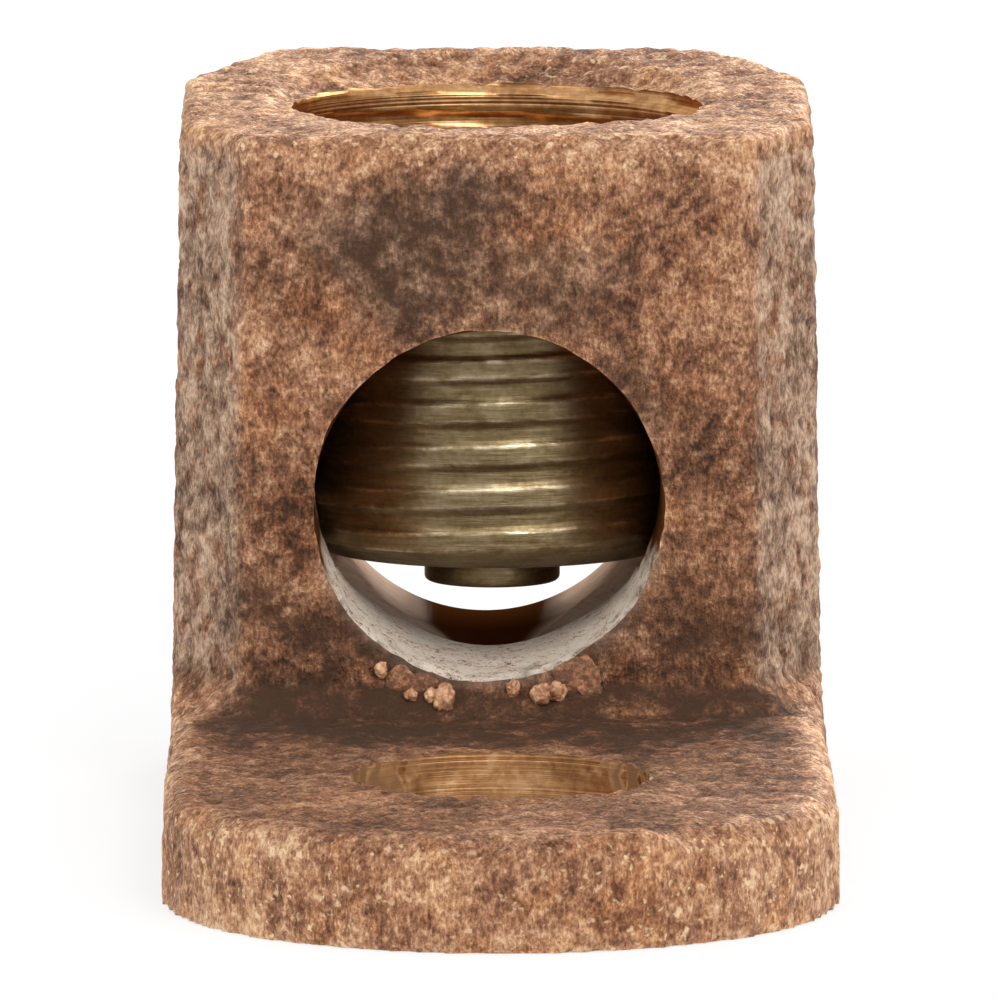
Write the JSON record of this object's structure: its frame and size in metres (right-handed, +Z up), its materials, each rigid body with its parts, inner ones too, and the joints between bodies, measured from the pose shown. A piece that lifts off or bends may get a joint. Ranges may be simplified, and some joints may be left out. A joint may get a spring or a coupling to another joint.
{
  "type": "tongue terminal",
  "caption": "Cast copper tongue terminal: a bolt-down tongue and a block with a cable tunnel, clamped from above by a set screw.",
  "frame": {"origin": "axis of the tongue's fixing hole, in the flat underside", "axes": "+Z up out of the underside, +Y from the tongue to the block, +X to the right as seen from the tongue"},
  "size_m": [0.0226, 0.0492, 0.0248],
  "materials": {
    "cast_copper": "rough sand-cast copper alloy, oxidised brown",
    "screw_brass": "turned brass, dulled"
  },
  "bodies": {
    "terminal": {"terminal_body": "cast_copper"},
    "screw": {"clamp_screw": "screw_brass"}
  },
  "joints": [
    {"name": "screw_travel", "type": "slide", "parent": "terminal", "child": "screw", "axis": [0, 0, 1], "range_m": [-0.0003, 0.01]}
  ]
}
